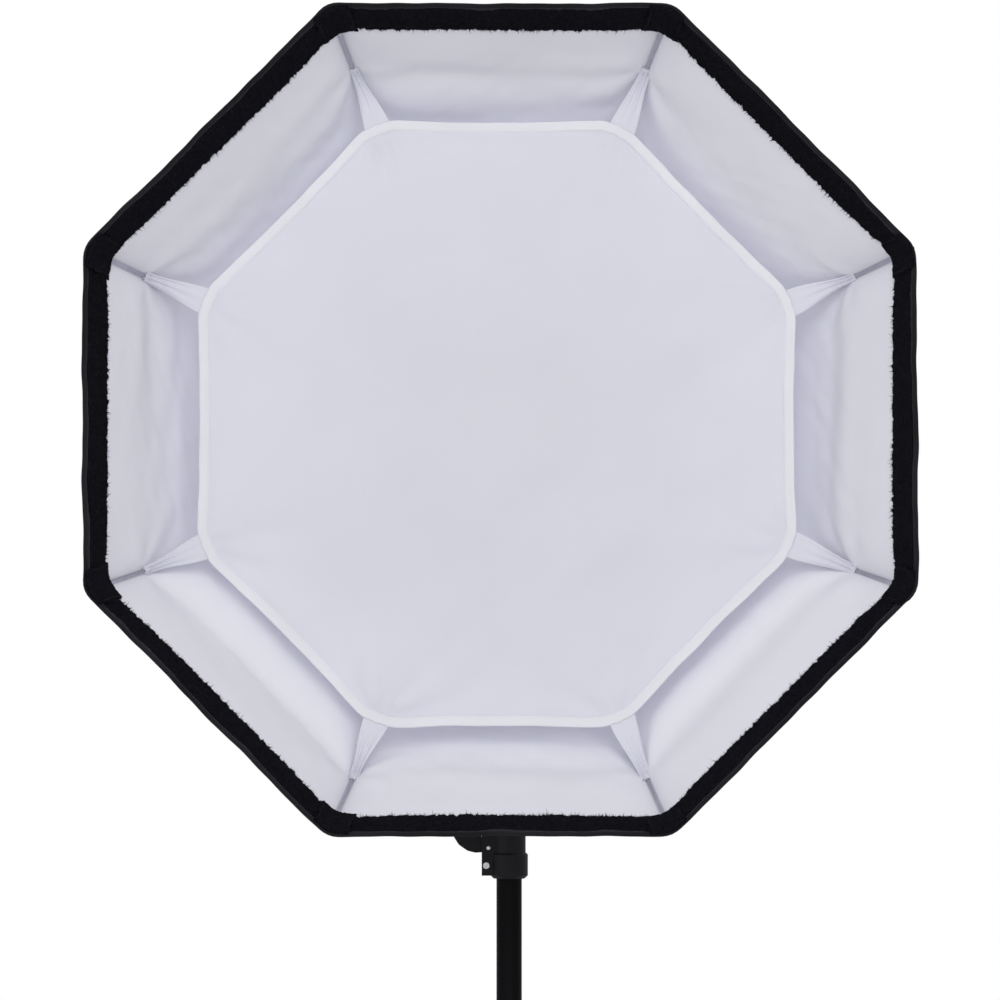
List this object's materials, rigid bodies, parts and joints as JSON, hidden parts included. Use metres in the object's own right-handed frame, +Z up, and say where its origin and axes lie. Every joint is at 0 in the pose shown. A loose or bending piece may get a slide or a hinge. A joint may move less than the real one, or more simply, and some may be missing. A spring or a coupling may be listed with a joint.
{
  "type": "studio softbox",
  "caption": "Octagonal softbox with a recessed inner diffuser on a tilting flash bracket and a folding three-leg stand.",
  "frame": {"origin": "on the floor, under the middle of the object's bounding box", "axes": "+Z up, the open front of the softbox faces -Y, +X to the right seen from the front"},
  "size_m": [0.8494, 0.7394, 1.4906],
  "materials": {
    "black_tube": "satin black anodised aluminium tube",
    "black_nylon": "moulded glass-filled nylon",
    "black_rubber": "matt rubber",
    "bush_plastic": "plain moulded acetal",
    "brace_steel": "black powder-coated steel strip",
    "bright_steel": "zinc-plated steel",
    "bracket_black": "fine-textured black paint on die casting",
    "ring_aluminium": "satin silver aluminium",
    "rod_steel": "drawn spring steel",
    "cover_fabric": "black coated nylon, fine plain weave",
    "lining_fabric": "white woven lining",
    "binding_fabric": "black woven binding tape",
    "loop_fabric": "black hook-and-loop pile",
    "diffuser_fabric": "white translucent diffusion cloth",
    "hem_fabric": "white binding tape",
    "strap_fabric": "white strap cloth"
  },
  "bodies": {
    "stand": {"base_column": "black_tube", "column_plug": "black_nylon", "brace_collar": "black_nylon", "lower_lock_collar": "black_nylon", "lower_lock_screws": "bright_steel"},
    "leg_carrier": {"leg_collar": "black_nylon", "leg_collar_rivets": "bright_steel"},
    "leg_knob": {"leg_collar_knob": "black_nylon"},
    "lower_lever": {"lower_lock_lever": "black_nylon"},
    "mid_section": {"mid_tube": "black_tube", "mid_bush": "bush_plastic", "upper_lock_collar": "black_nylon", "upper_lock_screws": "bright_steel"},
    "upper_lever": {"upper_lock_lever": "black_nylon"},
    "top_section": {"top_tube": "black_tube", "top_bush": "bush_plastic", "spigot": "bright_steel"},
    "swivel": {"tilt_base": "bracket_black"},
    "stud_knob": {"socket_knob": "black_nylon"},
    "tilt_handle": {"tilt_lever": "black_nylon"},
    "bracket": {"bracket_body": "bracket_black", "bracket_ring": "bracket_black", "top_yoke": "bracket_black", "guide_rods": "bright_steel", "lower_jaw": "bracket_black", "lower_pad": "black_rubber", "tilt_bolt": "bright_steel", "bracket_screws": "bright_steel", "bayonet_insert": "ring_aluminium", "retaining_ring": "ring_aluminium", "latch_bush": "bright_steel"},
    "umbrella_lock": {"umbrella_knob": "black_nylon"},
    "jaw": {"upper_jaw": "bracket_black", "upper_pad": "black_rubber"},
    "clamp_screw": {"clamp_knob": "black_nylon"},
    "latch": {"latch_pin": "bright_steel", "latch_spring": "bright_steel"},
    "softbox": {"speedring": "ring_aluminium", "rod_sockets": "bright_steel", "rods": "rod_steel", "outer_cover": "cover_fabric", "lining": "lining_fabric", "rim_binding": "binding_fabric", "loop_tape": "loop_fabric", "corner_pockets": "loop_fabric", "inner_diffuser": "diffuser_fabric", "diffuser_hem": "hem_fabric", "diffuser_straps": "strap_fabric", "rear_cuff": "cover_fabric"},
    "ring_lock": {"rotation_lock": "black_nylon"},
    "leg_1_body": {"leg_1": "black_tube", "foot_1": "black_rubber"},
    "brace_1_body": {"brace_1": "brace_steel"},
    "leg_2_body": {"leg_2": "black_tube", "foot_2": "black_rubber"},
    "brace_2_body": {"brace_2": "brace_steel"},
    "leg_3_body": {"leg_3": "black_tube", "foot_3": "black_rubber"},
    "brace_3_body": {"brace_3": "brace_steel"}
  },
  "joints": [
    {"name": "leg_collar_slide", "type": "slide", "parent": "stand", "child": "leg_carrier", "axis": [0, 0, 1], "range_m": [0, 0.1502]},
    {"name": "leg_knob_turn", "type": "hinge", "parent": "leg_carrier", "child": "leg_knob", "pos_m": [0, 0.14, 0.39302], "axis": [0, 1, 0], "range_deg": [0, 720]},
    {"name": "lower_lever_flip", "type": "hinge", "parent": "stand", "child": "lower_lever", "pos_m": [-0.0205, 0.12, 0.709], "axis": [0, 1, 0], "range_deg": [0, 50]},
    {"name": "mid_slide", "type": "slide", "parent": "stand", "child": "mid_section", "axis": [0, 0, 1], "range_m": [-0.078, 0.38]},
    {"name": "upper_lever_flip", "type": "hinge", "parent": "mid_section", "child": "upper_lever", "pos_m": [-0.019, 0.12, 0.845], "axis": [0, 1, 0], "range_deg": [0, 50]},
    {"name": "top_slide", "type": "slide", "parent": "mid_section", "child": "top_section", "axis": [0, 0, 1], "range_m": [-0.045, 0.4]},
    {"name": "pan", "type": "hinge", "parent": "top_section", "child": "swivel", "pos_m": [0, 0.12, 0.94], "axis": [0, 0, 1], "continuous": true},
    {"name": "stud_knob_turn", "type": "hinge", "parent": "swivel", "child": "stud_knob", "pos_m": [0, 0.145, 0.944], "axis": [0, 1, 0], "range_deg": [0, 720]},
    {"name": "tilt", "type": "hinge", "parent": "swivel", "child": "bracket", "pos_m": [0, 0.12, 1.003], "axis": [1, 0, 0], "range_deg": [-80, 35]},
    {"name": "tilt_lever_turn", "type": "hinge", "parent": "swivel", "child": "tilt_handle", "pos_m": [0.02, 0.12, 1.003], "axis": [1, 0, 0], "range_deg": [0, 90]},
    {"name": "umbrella_knob_turn", "type": "hinge", "parent": "bracket", "child": "umbrella_lock", "pos_m": [-0.024, 0.092, 1.017], "axis": [1, 0, 0], "range_deg": [-1080, 0]},
    {"name": "jaw_slide", "type": "slide", "parent": "bracket", "child": "jaw", "axis": [0, 0, 1], "range_m": [-0.03, 0.02]},
    {"name": "clamp_knob_turn", "type": "hinge", "parent": "jaw", "child": "clamp_screw", "pos_m": [-0.009, 0.106, 1.215], "axis": [0, 0, 1], "range_deg": [-5401, 3601]},
    {"name": "latch_pull", "type": "slide", "parent": "bracket", "child": "latch", "axis": [1, 0, 0], "range_m": [0, 0.004], "stiffness_N_per_m": 800, "springref_m": -0.004, "deforming": ["latch_spring"]},
    {"name": "softbox_turn", "type": "hinge", "parent": "bracket", "child": "softbox", "pos_m": [-0.009, 0.039, 1.115], "axis": [0, 1, 0], "continuous": true},
    {"name": "ring_lock_turn", "type": "hinge", "parent": "softbox", "child": "ring_lock", "pos_m": [-0.009, 0.047, 1.205], "axis": [0, 0, 1], "range_deg": [0, 720]},
    {"name": "leg_1_fold", "type": "hinge", "parent": "leg_carrier", "child": "leg_1_body", "pos_m": [0, 0.094, 0.37602], "axis": [1, 0, 0], "range_deg": [0, 45.98]},
    {"name": "brace_1_fold", "type": "hinge", "parent": "stand", "child": "brace_1_body", "pos_m": [0, 0.094, 0.118], "axis": [-1, 0, 0], "range_deg": [0, 45.98]},
    {"name": "leg_2_fold", "type": "hinge", "parent": "leg_carrier", "child": "leg_2_body", "pos_m": [0.02252, 0.133, 0.37602], "axis": [-0.5, 0.866, 0], "range_deg": [0, 45.98]},
    {"name": "brace_2_fold", "type": "hinge", "parent": "stand", "child": "brace_2_body", "pos_m": [0.02252, 0.133, 0.118], "axis": [0.5, -0.866, 0], "range_deg": [0, 45.98]},
    {"name": "leg_3_fold", "type": "hinge", "parent": "leg_carrier", "child": "leg_3_body", "pos_m": [-0.02252, 0.133, 0.37602], "axis": [-0.5, -0.866, 0], "range_deg": [0, 45.98]},
    {"name": "brace_3_fold", "type": "hinge", "parent": "stand", "child": "brace_3_body", "pos_m": [-0.02252, 0.133, 0.118], "axis": [0.5, 0.866, 0], "range_deg": [0, 45.98]}
  ],
  "couplings": [
    {"joint": "clamp_knob_turn", "follows": "jaw_slide", "rad_per_m": 3141.6},
    {"joint": "leg_1_fold", "follows": "leg_collar_slide", "rad_per_m": 5.3375},
    {"joint": "brace_1_fold", "follows": "leg_collar_slide", "rad_per_m": 5.3375},
    {"joint": "leg_2_fold", "follows": "leg_collar_slide", "rad_per_m": 5.3375},
    {"joint": "brace_2_fold", "follows": "leg_collar_slide", "rad_per_m": 5.3375},
    {"joint": "leg_3_fold", "follows": "leg_collar_slide", "rad_per_m": 5.3375},
    {"joint": "brace_3_fold", "follows": "leg_collar_slide", "rad_per_m": 5.3375}
  ]
}
